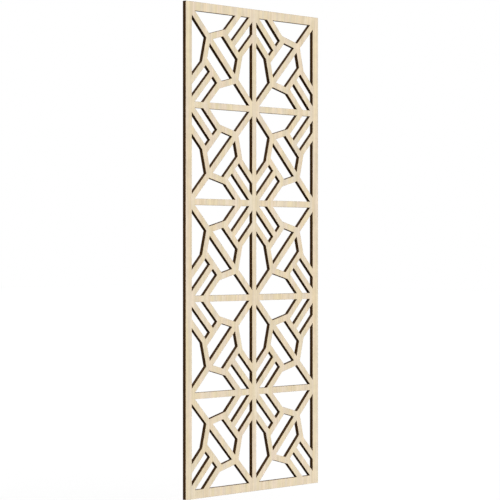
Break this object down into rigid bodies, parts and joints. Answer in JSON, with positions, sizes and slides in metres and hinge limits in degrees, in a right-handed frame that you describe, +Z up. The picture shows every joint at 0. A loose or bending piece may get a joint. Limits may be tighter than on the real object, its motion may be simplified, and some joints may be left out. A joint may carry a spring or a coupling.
{
  "type": "fretwork wall panel",
  "caption": "Tall flat wooden fretwork panel, laser-cut from plywood: a plain frame round mirrored square tiles of diagonal bars, stripes and slanted links.",
  "frame": {"origin": "centre of the flat back face, on the centre stile at mid height", "axes": "+Z up the panel, +X across it to the right as seen from the front, +Y out of the back face into the wall; the show face looks towards -Y"},
  "size_m": [0.4912, 0.0095, 1.1872],
  "materials": {
    "pale_face_veneer": "sanded pale maple-like veneer, unfinished, matt, grain upright",
    "pale_back_veneer": "sanded pale veneer, unfinished, matt, a little darker than the front",
    "burnt_long_ply": "laser-cut edge, burnt dark brown, seen as side grain",
    "burnt_cross_ply": "laser-cut edge, burnt nearly black, seen as end grain on the upright edges"
  },
  "bodies": {
    "root": {"front_face_veneer": "pale_face_veneer", "front_crossband": "burnt_cross_ply", "front_long_ply": "burnt_long_ply", "core_ply": "burnt_cross_ply", "back_long_ply": "burnt_long_ply", "back_crossband": "burnt_cross_ply", "back_face_veneer": "pale_back_veneer"}
  },
  "joints": []
}
